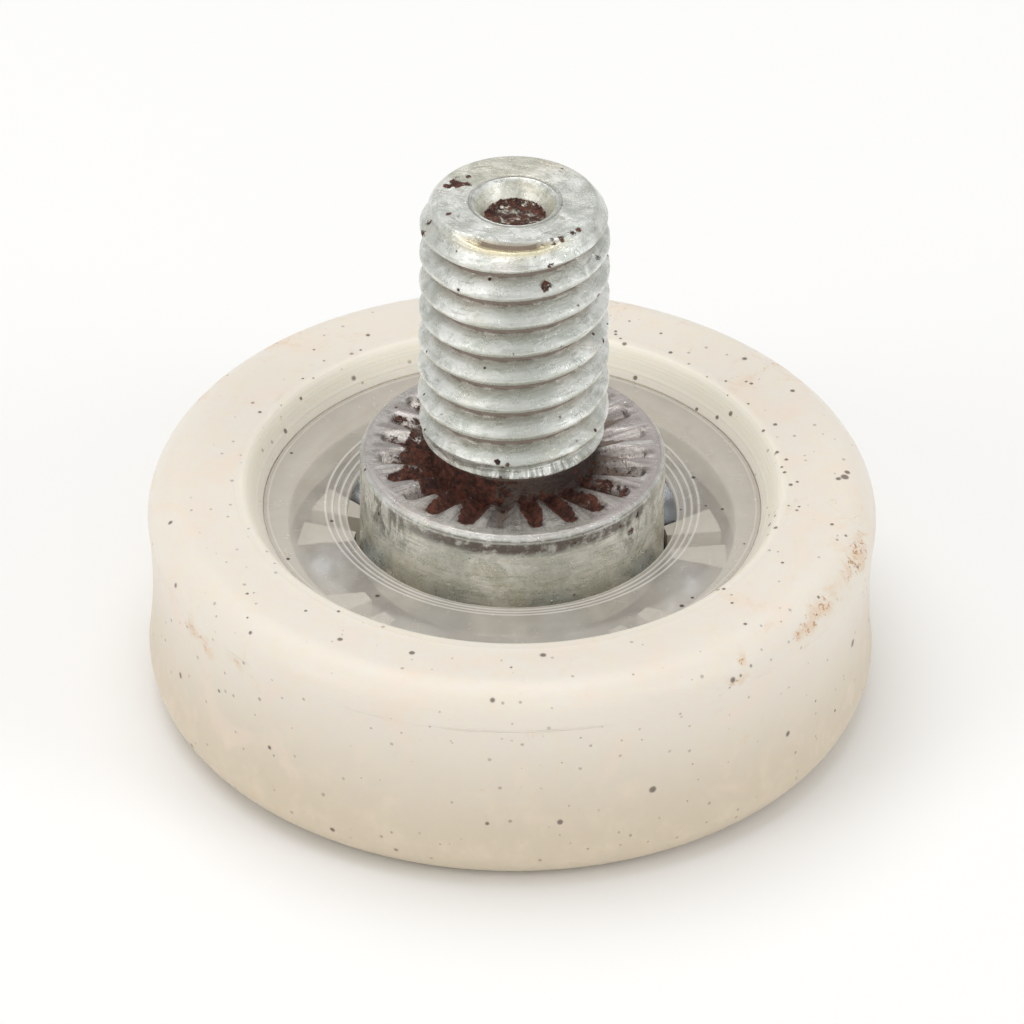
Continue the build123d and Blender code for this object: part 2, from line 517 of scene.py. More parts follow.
def shield_material():
    """Clear plastic that the balls show through, milkier where it is seated and along its steps."""
    m = Material("clear_shield")
    height, radius = m.parts()
    colour = m.blend(m.noise(0.3, 3.0, 0.5), (0.77, 0.70, 0.61), (0.84, 0.79, 0.72))
    seated = m.fade(radius, RACE_LAND - 0.25, RACE_LAND + 0.1)
    colour = m.blend(m.times(seated, 0.7), colour, (0.66, 0.62, 0.565))
    lines = m.fade(m.gap(radius, SHIELD_RADIUS - 0.13), 0.05, 0.01, 0.0, 0.4)
    for step in range(LIP_STEPS + 1):
        gap = m.gap(radius, SHIELD_BORE + 0.03 + step * LIP_STEP_WIDTH)
        lines = m.larger(lines, m.fade(gap, 0.07, 0.02))
    colour = m.blend(m.times(lines, 0.6), colour, (0.98, 0.96, 0.93))
    dots = m.larger(specks(m, 1.3, 0.4, 0.08), spots(m, SHIELD_SPOTS))
    colour = m.blend(m.times(dots, 0.95), colour, (0.06, 0.04, 0.03))
    haze = m.fade(m.noise(0.7, 3.0, 0.55), 0.35, 0.75, 0.38, 0.48)
    haze = m.plus(haze, m.times(seated, 0.22))
    veil = m.plus(haze, m.times(m.larger(m.times(lines, 0.7), dots), 0.4))
    outer = m.fade(m.gap(height, WHEEL_WIDTH / 2), 2.25, 2.35)
    veil = m.plus(m.times(veil, outer), 0.04)
    rough = m.fade(m.noise(2.5, 4.0, 0.6), 0.3, 0.8, 0.20, 0.30)
    normal = m.bump(m.noise(0.8, 2.0, 0.5), 0.05, 0.5)
    return m.finish(
        Base_Color=colour,
        Roughness=rough,
        Normal=normal,
        IOR=1.45,
        Alpha=veil,
        Transmission_Weight=0.15,
    )


def zinc_material():
    """Zinc-plated steel: mottled and frosted, with painted shade and dirt in its hollows, painted
    reflections, scratches and rust.
    """
    m = Material("zinc_steel")
    height, radius = m.parts()
    lines = m.noise(2.2, 5.0, 0.65, at=m.around(1.0, 3.0, 3.0))
    patch = m.noise(1.5, 6.0, 0.7, distortion=0.5)
    fine = m.noise(9.0, 4.0, 0.6)
    zinc = m.blend(m.fade(patch, 0.38, 0.62), (0.63, 0.66, 0.60), (0.97, 0.98, 0.95))
    zinc = m.blend(m.fade(lines, 0.42, 0.75, 0.0, 0.6), zinc, (0.94, 0.94, 0.90))
    streaky = m.noise(3.6, 4.0, 0.7, at=m.around(1.2, 3.0, 3.0))
    zinc = m.blend(m.fade(streaky, 0.54, 0.68, 0.0, 0.7), zinc, (0.45, 0.445, 0.40))
    tan = m.fade(m.noise(0.9, 4.0, 0.6), 0.52, 0.72, 0.0, 0.35)
    zinc = m.blend(tan, zinc, (0.80, 0.72, 0.58))
    # Painted reflection: soft upright darker bands round the stud, standing in for darker parts of the
    # studio mirrored in the metal.
    painted_reflection_zones = m.fade(m.noise(1.5, 1.0, 0.5, at=m.around(1.0, 0.1)), 0.42, 0.58, 0.0, 0.42)
    zinc = m.blend(painted_reflection_zones, zinc, (0.55, 0.575, 0.52))
    hollow = m.mark("hollow")
    # Painted shade, with some dirt: darker the deeper a point lies in the thread, the serrations, the
    # neck and the dimple.
    zinc = m.blend(m.fade(hollow, 0.40, 0.92, 0.0, 0.65), zinc, (0.42, 0.37, 0.32))
    # Yellowed zinc, and on the collar at the shield's lip partly a painted reflection of the shield.
    zinc = m.blend(m.times(m.mark("tarnish_and_reflection"), 0.8), zinc, (0.70, 0.62, 0.40))
    film = m.mark("film")
    zinc = m.blend(film, zinc, (0.47, 0.41, 0.395))
    shade = m.times(m.mark("shade"), m.fade(patch, 0.35, 0.6, 0.12, 0.42))
    zinc = m.blend(shade, zinc, (0.43, 0.46, 0.42))

    scratch = m.mark("scratch")
    streaks = m.noise(1.5, 3.0, 0.6, at=m.around(9.0, 0.8), distortion=0.6)
    zinc = m.blend(m.times(scratch, m.fade(streaks, 0.52, 0.42, 0.0, 0.8)), zinc, (0.22, 0.21, 0.19))
    zinc = m.blend(m.times(scratch, m.fade(streaks, 0.54, 0.62)), zinc, (0.96, 0.96, 0.93))
    teeth = m.times(film, m.fade(radius, SERRATION_OUTER + 0.25, SERRATION_OUTER))
    zinc = m.blend(m.times(teeth, m.fade(streaks, 0.52, 0.42, 0.0, 0.7)), zinc, (0.20, 0.17, 0.155))
    zinc = m.blend(m.times(teeth, m.fade(streaks, 0.56, 0.64, 0.0, 0.6)), zinc, (0.95, 0.93, 0.90))
    frost = specks(m, 2.7, 0.35, 0.13)
    zinc = m.blend(m.times(frost, 0.8), zinc, (0.98, 0.98, 0.96))
    # The rough band under the collar's edge, and painted shadow on the neck and round its foot.
    burr_and_shadow = m.times(m.mark("burr_and_shadow"), m.fade(m.noise(2.6, 5.0, 0.7), 0.34, 0.54, 0.30, 1.0))
    zinc = m.blend(m.times(burr_and_shadow, 0.95), zinc, (0.12, 0.09, 0.075))

    rust = m.mark("rust")
    # Painted shade, with some dirt: dark brown at the thread's roots, the deepest serrations, the neck
    # and the foot of the rim's step.
    grime_and_shade = m.fade(m.plus(hollow, m.times(fine, 0.12)), 0.97, 1.05, 0.0, 0.85)
    zinc = m.blend(grime_and_shade, zinc, (0.22, 0.16, 0.125))
    # Painted shadow: near black on the neck and the collar's face round it.
    root = m.times(m.times(m.mark("burr_and_shadow"), film), 1.5, clamp=True)
    zinc = m.blend(root, zinc, (0.05, 0.035, 0.028))
    rot = m.plus(m.noise(3.0, 7.0, 0.75, distortion=0.5), m.times(rust, 0.40))
    rot = m.plus(rot, m.times(hollow, 0.05))
    eaten = m.fade(rot, 0.79, 0.86)
    flecks = specks(m, 2.2, 0.42, 0.14)
    eaten = m.larger(eaten, flecks)
    depth = m.fade(m.noise(4.0, 6.0, 0.75), 0.40, 0.64)
    brown = m.blend(depth, (0.035, 0.012, 0.009), (0.17, 0.055, 0.030))
    colour = m.blend(eaten, zinc, brown)

    rough = m.fade(m.noise(3.0, 5.0, 0.65), 0.3, 0.75, 0.20, 0.50)
    rough = m.plus(rough, m.times(m.larger(eaten, burr_and_shadow), 0.35), clamp=True)
    dull = m.larger(m.larger(eaten, grime_and_shade), m.times(burr_and_shadow, 0.6))
    metal = m.fade(dull, 0.0, 1.0, 0.78, 0.08)
    on_tip = m.fade(height, STUD_TIP - 0.3, STUD_TIP - 0.1)
    ring_gap = m.gap(radius, DIMPLE_RADIUS + 0.09)
    ring = m.times(m.fade(ring_gap, 0.07, 0.02), on_tip)
    colour = m.blend(m.times(ring, 0.45), colour, (0.36, 0.34, 0.31))
    normal = m.bump(patch, 0.08, 0.7)
    normal = m.bump(ring, -0.04, 0.8, normal)
    normal = m.bump(lines, 0.03, 0.6, normal)
    normal = m.bump(frost, 0.03, 0.6, normal)
    normal = m.bump(m.times(streaks, scratch), 0.12, 0.9, normal)
    normal = m.bump(m.times(fine, m.plus(m.larger(eaten, burr_and_shadow), 0.3)), 0.06, 0.8, normal)
    return m.finish(Base_Color=colour, Roughness=rough, Metallic=metal, Normal=normal)


def cage_material():
    """Pale moulded plastic."""
    m = Material("cage_plastic")
    tone = m.noise(1.0, 4.0, 0.6)
    colour = m.blend(tone, (0.92, 0.86, 0.76), (0.96, 0.92, 0.84))
    normal = m.bump(m.noise(6.0, 3.0, 0.5), 0.02, 0.5)
    return m.finish(Base_Color=colour, Roughness=0.5, Normal=normal)


def ball_material():
    """Polished steel with a thin film of grease, its colour darkened as painted shade for the dark
    surroundings that it reflects.
    """
    m = Material("ball_steel")
    film = m.noise(2.0, 4.0, 0.6)
    # Painted shade: a darker colour than steel has, standing in for the dark surroundings that the
    # balls reflect.
    colour = m.blend(film, (0.28, 0.30, 0.33), (0.40, 0.42, 0.45))
    rough = m.fade(film, 0.3, 0.7, 0.24, 0.34)
    return m.finish(Base_Color=colour, Roughness=rough, Metallic=1.0)


def floor_material():
    """The studio's near-white floor."""
    m = Material("studio_floor")
    tone = m.noise(0.02, 3.0, 0.5)
    colour = m.blend(tone, (0.96, 0.96, 0.957), (0.98, 0.98, 0.977))
    return m.finish(Base_Color=colour, Roughness=0.8, Specular_IOR_Level=0.1)


# Stains on the wheel: azimuth in degrees, height, reach around the rim, reach in height, strength.
STAINS = [
    (-30, 6.5, 4.5, 0.35, 1.0),
    (-35, 6.4, 2.5, 0.3, 0.8),
    (-20, 6.6, 5, 0.3, 0.7),
    (-8, 6.75, 5, 0.3, 0.6),
    (-14, 6.5, 3.5, 0.35, 0.85),
    (-17, 6.3, 3, 0.35, 0.8),
    (-38.5, 6.4, 2, 0.25, 0.9),
    (-41, 6.9, 3, 0.2, 0.5),
    (-51, 6.6, 2.5, 0.25, 0.9),
    (-52, 6.1, 2.5, 0.2, 0.8),
    (-49.5, 3.75, 1.3, 0.3, 0.7),
    (-56.5, 3.95, 1.6, 0.3, 0.5),
    (-83, 4.7, 1.6, 0.5, 0.6),
    (-85, 5.7, 5, 0.3, 0.45),
    (-149.5, 5.5, 5.5, 0.45, 0.9),
    (-145.5, 5.1, 1.6, 0.2, 1.0),
    (-138, 5.6, 2, 0.25, 0.9),
    (-133.5, 5.35, 1.6, 0.2, 0.8),
    (-126.5, 2.25, 2.2, 0.25, 0.6),
    (-133, 1.15, 6, 0.2, 0.5),
    (178, 6.2, 8, 0.4, 0.5),
    (60, 6.6, 18, 0.35, 0.5),
    (120, 6.2, 7, 0.5, 0.6),
    (132, 6.75, 9, 0.3, 0.75),
    (152, 6.7, 7, 0.3, 0.7),
    (74, 6.8, 7, 0.3, 0.75),
    (38, 6.8, 6, 0.3, 0.7),
    (25, 3.0, 6, 0.6, 0.6),
    (95, 1.6, 7, 0.4, 0.6),
]

# How far each groove of the collar's face has rusted, counted round from the front one.
GROOVE_RUST = [
    0.3, 1.1, 1.1, 0.95, 0.75, 0.55, 0.4, 0.35, 0.3, 0.3, 0.4, 0.5,
    0.6, 0.65, 0.7, 0.6, 0.65, 0.6, 0.55, 1.0, 0.5, 1.1, 1.1,
]

# Spots of rust on the stud: azimuth in degrees, radius, height, reach and strength.
STUD_RUST_SPOTS = [
    (152, 1.95, 17.25, 0.34, 1.12),
    (145, 2.1, 17.25, 0.22, 1.0),
    (160, 2.15, 17.25, 0.22, 1.0),
    (149, 1.65, 17.25, 0.18, 1.0),
    (138, 1.9, 17.25, 0.16, 1.0),
    (205, 1.85, 17.25, 0.18, 0.9),
    (-69, 2.28, 17.12, 0.16, 1.0),
    (-61.5, 2.31, 17.12, 0.2, 1.1),
    (-54, 2.32, 17.15, 0.2, 1.1),
    (-44, 2.33, 17.18, 0.2, 1.05),
    (-38, 2.38, 17.2, 0.16, 1.0),
    (-25, 2.6, 17.0, 0.14, 1.0),
    (-160, 2.1, 17.25, 0.16, 0.95),
    (-155, 1.86, 17.25, 0.12, 1.0),
    (-58, 2.8, 16.2, 0.14, 1.1),
    (-60, 2.75, 15.1, 0.14, 1.1),
    (-52, 2.8, 13.2, 0.15, 1.1),
    (-47, 2.8, 12.2, 0.13, 1.1),
    (-99, 2.85, 9.75, 0.13, 1.15),
    (-93, 2.85, 9.7, 0.1, 1.15),
    (-90, 2.8, 13.7, 0.12, 1.1),
    (-34, 2.85, 11.5, 0.15, 1.1),
    (-20, 2.85, 12.9, 0.14, 1.1),
    (194, 2.85, 16.45, 0.3, 1.2),
    (190, 2.7, 16.8, 0.25, 1.1),
    (182, 2.9, 11.7, 0.18, 1.1),
    (-68, 2.8, 16.7, 0.22, 0.95),
    (-70, 2.7, 15.95, 0.25, 1.0),
    (-72, 2.7, 15.6, 0.2, 0.9),
    (-70, 2.7, 14.35, 0.25, 0.95),
    (-68, 2.7, 13.45, 0.22, 0.95),
    (-66, 2.7, 12.6, 0.28, 1.0),
    (-92, 2.7, 14.6, 0.15, 0.9),
    (-25, 2.8, 16.1, 0.22, 0.95),
    (-24, 2.8, 15.6, 0.2, 0.9),
    (-28, 2.8, 14.7, 0.22, 0.95),
    (-62, 4.58, 8.0, 0.22, 1.0),
    (-40, 4.6, 7.35, 0.25, 1.05),
    (-35, 4.6, 7.75, 0.18, 0.9),
    (-30, 3.9, 8.25, 0.22, 1.0),
]

# Height of the moulding's parting line on the tread.
SEAM = 5.85

# Larger dark specks on the wheel and the shields: azimuth in degrees, radius, height, half width.
WHEEL_SPOTS = [
    (-84, 10.9, 5.96, 0.13),
    (-67, 10.87, 3.05, 0.14),
    (-82, 10.87, 2.4, 0.12),
    (-19, 10.87, 3.75, 0.16),
    (-155.5, 10.87, 3.0, 0.12),
    (-108.5, 9.15, 7.0, 0.11),
    (154, 7.7, 6.45, 0.1),
    (144.5, 7.95, 6.8, 0.07),
    (155, 8.5, 7.0, 0.07),
    (140, 8.4, 7.0, 0.05),
    (120, 8.97, 7.0, 0.08),
    (124, 8.4, 7.0, 0.05),
    (60.5, 7.6, 6.3, 0.09),
    (42, 7.55, 6.25, 0.07),
    (35.5, 7.65, 6.38, 0.08),
    (32.5, 7.85, 6.68, 0.1),
    (31, 8.36, 7.0, 0.05),
    (22, 8.6, 7.0, 0.08),
    (21, 8.15, 6.97, 0.07),
    (36.5, 9.05, 7.0, 0.07),
    (30.5, 9.9, 7.0, 0.09),
    (65.5, 8.2, 7.0, 0.09),
    (68.5, 8.55, 7.0, 0.06),
    (67, 8.4, 7.0, 0.05),
    (55.5, 8.5, 7.0, 0.08),
    (12.5, 8.2, 7.0, 0.08),
    (9.5, 8.4, 7.0, 0.07),
    (7, 8.2, 7.0, 0.06),
    (5, 8.25, 7.0, 0.07),
    (1.5, 8.6, 7.0, 0.06),
    (0.5, 8.4, 7.0, 0.08),
    (3, 10.05, 6.97, 0.16),
    (4.5, 10.15, 6.96, 0.11),
    (2.4, 9.85, 7.0, 0.1),
    (-7, 8.7, 7.0, 0.05),
    (-10, 8.0, 6.9, 0.07),
    (-12, 7.9, 6.75, 0.09),
    (-11.5, 9.8, 7.0, 0.07),
    (-26, 9.0, 7.0, 0.06),
    (-40, 8.25, 7.0, 0.07),
    (-42.5, 8.9, 7.0, 0.06),
    (-45.5, 9.9, 7.0, 0.07),
    (-132.5, 9.0, 7.0, 0.06),
    (-143.5, 9.75, 7.0, 0.06),
    (-131, 10.87, 3.1, 0.08),
    (-118.5, 10.98, 1.15, 0.1),
]
SHIELD_SPOTS = [
    (-130, 6.2, 6.2, 0.1),
    (159, 7.2, 6.2, 0.07),
    (-171, 5.5, 6.15, 0.08),
    (-156.5, 7.3, 6.2, 0.08),
    (-45, 7.2, 6.2, 0.1),
    (15.5, 5.7, 6.2, 0.09),
    (0.5, 5.85, 6.2, 0.06),
    (-1, 6.35, 6.2, 0.07),
    (1, 5.1, 6.05, 0.07),
]


def angle_gap(angle, degrees):
    """The turn from an azimuth, in degrees, between -180 and 180."""
    return (np.degrees(angle) - degrees + 180) % 360 - 180


def facing(angle, side, power=4):
    """1 where a point faces the side, falling to 0 beyond the side's reach."""
    azimuth, reach = side
    return np.exp(-((angle_gap(angle, azimuth) / reach) ** power))


def share(value, full):
    """A value as a share of the full one, kept between 0 and 1."""
    return np.clip(value / full, 0, 1)


def wheel_outline():
    """The wheel's half section, round its edges, its recesses and the race for the balls."""
    top = WHEEL_WIDTH
    seat = SHIELD_TOP - SHIELD_THICKNESS
    rim = SHIELD_RADIUS + SHIELD_FIT
    bead = rim + SHIELD_BEAD
    bead_height = SHIELD_TOP - SHIELD_THICKNESS / 2
    groove_centre = OUTER_RACE - RACE_GROOVE
    groove_half = math.degrees(math.acos((RACE_LAND - groove_centre) / RACE_GROOVE))
    centre = (groove_centre, WHEEL_WIDTH / 2)
    groove = arc_points(centre, RACE_GROOVE, -groove_half, groove_half, RACE_POINTS)
    corners = [
        (RECESS_MOUTH, top, RECESS_LIP),
        (WHEEL_RADIUS, top, FRONT_EDGE),
        (WHEEL_RADIUS, 0, BACK_EDGE),
        (RECESS_MOUTH, 0, RECESS_LIP),
        (rim, top - SHIELD_TOP, 0.03),
        (bead, top - bead_height),
        (rim, top - seat),
        (RACE_LAND, top - seat, 0.06),
        *groove,
        (RACE_LAND, seat, 0.06),
        (rim, seat),
        (bead, bead_height),
        (rim, SHIELD_TOP, 0.03),
    ]
    return rounded(corners, spacing=0.2, closed=True)


def wheel_shape(angle, radius, height):
    """The tread's slight hollow, and the mark for its stains."""
    low, high = BACK_EDGE, WHEEL_WIDTH - FRONT_EDGE
    middle, half = (low + high) / 2, (high - low) / 2
    across = share(np.abs(height - middle), half)
    on_tread = radius > WHEEL_RADIUS - SLACK
    hollow = np.where(on_tread, TREAD_HOLLOW * (1 - across**2), 0)
    radius = radius - hollow
    stain = np.zeros_like(radius)
    for azimuth, place, around, rise, strength in STAINS:
        gap = (angle_gap(angle, azimuth) / around) ** 2 + ((height - place) / rise) ** 2
        stain += strength * np.exp(-gap)
    stain *= radius > RECESS_MOUTH
    return radius, height, {"stain": np.clip(stain, 0, 1)}


def build_wheel():
    piece = lathe("moulded_wheel", wheel_outline(), WHEEL_COLUMNS, wheel_shape)
    piece.data.materials.append(wheel_material())
    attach(piece, "roller")
    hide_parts("wheel")


def shield_outline():
    """A shield's half section, with its snap bead and the fine steps down to its lip."""
    steps = []
    for step in range(LIP_STEPS):
        top = SHIELD_THICKNESS - step * LIP_STEP_DROP
        riser = SHIELD_BORE + (LIP_STEPS - step) * LIP_STEP_WIDTH
        steps += [(riser, top, 0.02), (riser, top - LIP_STEP_DROP, 0.02)]
    corners = [
        (SHIELD_BORE, 0, 0.05),
        (SHIELD_RADIUS, 0, 0.03),
        (SHIELD_RADIUS + SHIELD_BEAD, SHIELD_THICKNESS / 2),
        (SHIELD_RADIUS, SHIELD_THICKNESS, 0.06),
        *steps,
        (SHIELD_BORE, SHIELD_THICKNESS - LIP_STEPS * LIP_STEP_DROP, 0.08),
    ]
    return rounded(corners, spacing=0.2, closed=True)


def build_shields():
    material = shield_material()
    outline = shield_outline()
    base = SHIELD_TOP - SHIELD_THICKNESS
    for name, node, flip in (
        ("shield_front", "front_shield", False),
        ("shield_rear", "rear_shield", True),
    ):
        section = outline.copy()
        section[:, 1] += base
        if flip:
            section[:, 1] = WHEEL_WIDTH - section[:, 1]
        piece = lathe(name, section, SHIELD_COLUMNS)
        piece.data.materials.append(material)
        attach(piece, "roller")
        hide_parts(node)


def stud_outline():
    """The stud's half section, from the axle at its back to the axle in the tip's dimple."""
    groove_centre = INNER_RACE + RACE_GROOVE
    groove_half = math.degrees(math.acos((groove_centre - COLLAR_RADIUS) / RACE_GROOVE))
    centre = (groove_centre, WHEEL_WIDTH / 2)
    groove = arc_points(centre, RACE_GROOVE, 180 + groove_half, 180 - groove_half, RACE_POINTS)
    lower = rounded(
        [
            (0, STUD_BACK + BACK_DIMPLE_DEPTH),
            (BACK_DIMPLE_FLOOR, STUD_BACK + BACK_DIMPLE_DEPTH - 0.05, 0.1),
            (BACK_DIMPLE_RADIUS, STUD_BACK, 0.08),
            (COLLAR_RADIUS - BACK_CHAMFER, STUD_BACK, 0.15),
            (COLLAR_RADIUS, STUD_BACK + BACK_CHAMFER, 0.15),
            *groove,
            (COLLAR_RADIUS, COLLAR_FACE - COLLAR_BAND),
        ],
        spacing=0.3,
    )
    collar = rounded(
        [
            (COLLAR_RADIUS, COLLAR_FACE - COLLAR_BAND + 0.1),
            (COLLAR_RADIUS, COLLAR_FACE - COLLAR_CHAMFER, 0.1),
            (COLLAR_RADIUS - COLLAR_CHAMFER, COLLAR_FACE, 0.08),
            (SERRATION_OUTER + 0.26, COLLAR_FACE),
        ],
        spacing=0.08,
    )
    across = np.arange(SERRATION_OUTER + 0.18, NECK_RADIUS + 0.05, -SERRATION_ROW)
    face = [(radius, COLLAR_FACE) for radius in across]
    up = np.linspace(COLLAR_FACE + 0.02, NECK_TOP - 0.1, NECK_POINTS)
    neck = [(NECK_RADIUS, height) for height in up]
    up = np.arange(NECK_TOP, STUD_TIP - TIP_HEIGHT, THREAD_ROW)
    shank = [(THREAD_RADIUS, height) for height in up]
    rim = rounded(
        [
            (THREAD_RADIUS, STUD_TIP - TIP_HEIGHT),
            (TIP_RADIUS, STUD_TIP, 0.2),
            (TIP_FLAT, STUD_TIP),
        ],
        spacing=0.05,
    )
    dimple = rounded(
        [
            (TIP_FLAT - 0.05, STUD_TIP),
            (DIMPLE_RADIUS, STUD_TIP, 0.16),
            (DIMPLE_FLOOR, STUD_TIP - DIMPLE_DEPTH, 0.15),
            (0, STUD_TIP - DIMPLE_DEPTH),
        ],
        spacing=0.12,
    )
    upper = [*rim.tolist(), *dimple.tolist()]
    return np.array([*lower.tolist(), *collar.tolist(), *face, *neck, *shank, *upper])


def thread_groove(angle, height):
    """How deep the helical groove is at each point, from 0 on the crest to 1 at its root."""
    phase = (height - THREAD_PHASE) / THREAD_PITCH - angle / (2 * math.pi) - 0.25
    away = np.abs((phase + 0.5) % 1 - 0.5)
    return (1 - share(away - THREAD_ROOT_HALF, THREAD_FLANK)) ** THREAD_ROUNDING


def serration_cut(degrees, radius):
    """How far the collar's face is cut down at each point by the V grooves, which vary a little."""
    draw = np.random.default_rng(11).uniform(-1, 1, (3, SERRATIONS))
    pitch = 360 / SERRATIONS
    nearest = np.round((degrees - SERRATION_PHASE) / pitch).astype(int)
    deepest = np.zeros_like(radius)
    for neighbour in (-1, 0, 1):
        tooth = nearest + neighbour
        which = tooth % SERRATIONS
        turned = SERRATION_TURN_SPREAD * draw[0][which]
        offset = np.radians(degrees - SERRATION_PHASE - tooth * pitch - turned)
        reach = SERRATION_OUTER + SERRATION_REACH_SPREAD * draw[1][which]
        inward = share(reach - radius, reach - NECK_RADIUS)
        root = SERRATION_OUTER_DEPTH + (SERRATION_NECK_DEPTH - SERRATION_OUTER_DEPTH) * inward
        root = root * (1 + SERRATION_DEPTH_SPREAD * draw[2][which])
        root = root * share(reach - radius, SERRATION_END)
        cut = root - np.abs(radius * np.sin(offset)) * SERRATION_SLOPE
        deepest = np.maximum(deepest, cut)
    return deepest


def threaded(angle, radius, height):
    """The radius of the threaded shank, and how deep in the thread each point lies."""
    depth = thread_groove(angle, height)
    depth = depth * share(THREAD_END - height, THREAD_FADE_OUT)
    depth = depth * share(height - THREAD_START, THREAD_FADE_IN)
    flare = (THREAD_RUNOUT_RADIUS - NECK_RADIUS) * share(height - NECK_TOP, 0.2)
    runout = (THREAD_RADIUS - THREAD_RUNOUT_RADIUS) * share(height - THREAD_START - 0.3, 0.4)
    worn = np.minimum(THREAD_WAVER * wave_noise(angle, height * 2, 6, 3), 0)
    worn = worn - THREAD_WEAR - THREAD_TAPER * share(height - NECK_TOP, STUD_TIP - NECK_TOP)
    cut = THREAD_RADIUS - THREAD_DEPTH * depth + worn
    return np.minimum(np.minimum(radius, cut), NECK_RADIUS + flare + runout), depth


def rim_step(angle, radius, height):
    """The step in the rim's front, and the dark line along its foot."""
    lead = facing(angle, STEP_SIDE) * (height > STUD_TIP - TIP_HEIGHT)
    wall = STEP_RADIUS + STEP_RADIUS_BESIDE * (1 - lead)
    step = lead * share(radius - wall, 0.06)
    line = lead * share(radius - wall + 0.03, 0.04) * share(wall + STEP_LINE - radius, 0.05)
    return step, line


def dimple_floor(radius, height):
    """True on the lower part of the dimple in the tip."""
    return (radius < DIMPLE_FLOOR + 0.15) & (height > NECK_TOP) & (height < STUD_TIP - 0.3)


def stud_shape(angle, radius, height):
    """The stud's thread, serrations and stepped rim, and the marks for its material."""
    outside = (height > NECK_TOP - SLACK) & (radius > TIP_RADIUS - 0.25)
    turned, depth = threaded(angle, radius, height)
    radius = np.where(outside, turned, radius)
    on_face = (np.abs(height - COLLAR_FACE) < SLACK) & (radius < SERRATION_OUTER + 0.15)
    on_neck = (height > COLLAR_FACE + SLACK) & (height < NECK_TOP - 0.05)
    cut = serration_cut(np.degrees(angle), radius)
    # The collar's face round the neck, where painted shade and shadow go.
    root = np.where(on_face, share(NECK_RUST - radius, NECK_RUST_FADE), 0)
    step, line = rim_step(angle, radius, height)

    hollow = np.where(outside, depth, 0.0)
    hollow = np.where(on_face, share(cut, 0.24), hollow)
    hollow = np.maximum(hollow, NECK_HOLLOW * np.maximum(on_neck, root))
    hollow = np.maximum(hollow, STEP_HOLLOW * line)
    hollow = np.maximum(hollow, DIMPLE_HOLLOW * dimple_floor(radius, height))
    # Painted shadow: the neck and the collar's face round it are marked to be darkened almost to
    # black.
    burr_and_shadow = np.maximum(0.8 * on_neck, 0.6 * root)
    shade = facing(angle, SHADED_SIDE) * outside * (height < STUD_TIP - TIP_HEIGHT)

    lowered = height - np.where(on_face, cut, 0)
    lowered = lowered - STEP_DROP * step * share(STEP_OUTER - radius, 0.35)
    marks = {
        "film": collar_film(angle, height),
        "shade": shade,
        "hollow": hollow,
        "rust": stud_rust(angle, radius, height, cut, on_face),
        "scratch": stud_scratches(angle, radius, height),
        "burr_and_shadow": np.maximum(collar_burr(angle, radius, height), burr_and_shadow),
        "tarnish_and_reflection": stud_tarnish(angle, radius, height, step),
    }
    return radius, lowered, marks


def collar_film(angle, height):
    """The grey film on the collar's face and the neck."""
    covered = share(height - COLLAR_FACE + 0.12, 0.08) * share(NECK_TOP - height, 0.2)
    ahead = FILM_IN_FRONT * facing(angle, THIN_FILM_SIDE)
    right = FILM_ON_RIGHT * facing(angle, THICK_FILM_SIDE)
    return covered * (FILM - ahead + right)


def stud_tarnish(angle, radius, height, step):
    """Where the zinc has yellowed: rim's step, dimple and back of the tip; on the collar at the
    shield's lip the yellow is a pale film and a painted reflection of the shield.
    """
    in_dimple = (radius > 0.6) & (radius < DIMPLE_RADIUS - 0.05)
    in_dimple = in_dimple & (height > STUD_TIP - DIMPLE_DEPTH - SLACK)
    # At the shield's lip: a pale yellow film, and a painted reflection of the shield on the collar.
    lip_film_and_reflection = (radius > COLLAR_RADIUS - SLACK) & (height > WHEEL_WIDTH - 2)
    at_back = facing(angle, TARNISHED_SIDE) * (height > STUD_TIP - 0.1) * (radius > 1.3)
    tarnish_and_reflection = step * share(2.62 - radius, 0.1) + 0.25 * in_dimple
    tarnish_and_reflection += 0.22 * lip_film_and_reflection * share(WHEEL_WIDTH + 0.1 - height, 0.6)
    return np.clip(tarnish_and_reflection + 0.35 * at_back, 0, 1)


def stud_rust(angle, radius, height, cut, on_face):
    """Rust from 0 to about 1: round the neck, in the serrations, in the dimple and in spots."""
    side = facing(angle, RUSTED_SIDE, power=6)
    reach = NECK_RUST + 0.55 * side + 0.12 * wave_noise(angle, height, 7, 21)
    near_neck = share(reach + 0.25 - radius, NECK_RUST_FADE) * (0.5 + 0.5 * side)
    root = (height > COLLAR_FACE - SLACK) & (height < NECK_TOP - 0.15)
    root = root & (radius < SERRATION_OUTER + 0.3)
    rust = 1.05 * near_neck * root
    turns = (np.degrees(angle) - SERRATION_PHASE) * SERRATIONS / 360
    tooth = np.round(turns).astype(int)
    across = np.abs(turns - tooth)
    in_groove = share(cut, 0.06) * np.array(GROOVE_RUST)[tooth % SERRATIONS]
    in_groove = in_groove * np.clip((0.47 - across) / 0.1, 0.35, 1)
    rust = np.maximum(rust, np.where(on_face, in_groove, 0))
    rust = np.maximum(rust, DIMPLE_RUST * dimple_floor(radius, height))
    for azimuth, out, up, size, strength in STUD_RUST_SPOTS:
        a = math.radians(azimuth)
        gap = (radius * np.cos(angle) - out * math.cos(a)) ** 2
        gap += (radius * np.sin(angle) - out * math.sin(a)) ** 2 + (height - up) ** 2
        rust = np.maximum(rust, strength * np.exp(-gap / size**2))
    return np.clip(rust, 0, 1.2)


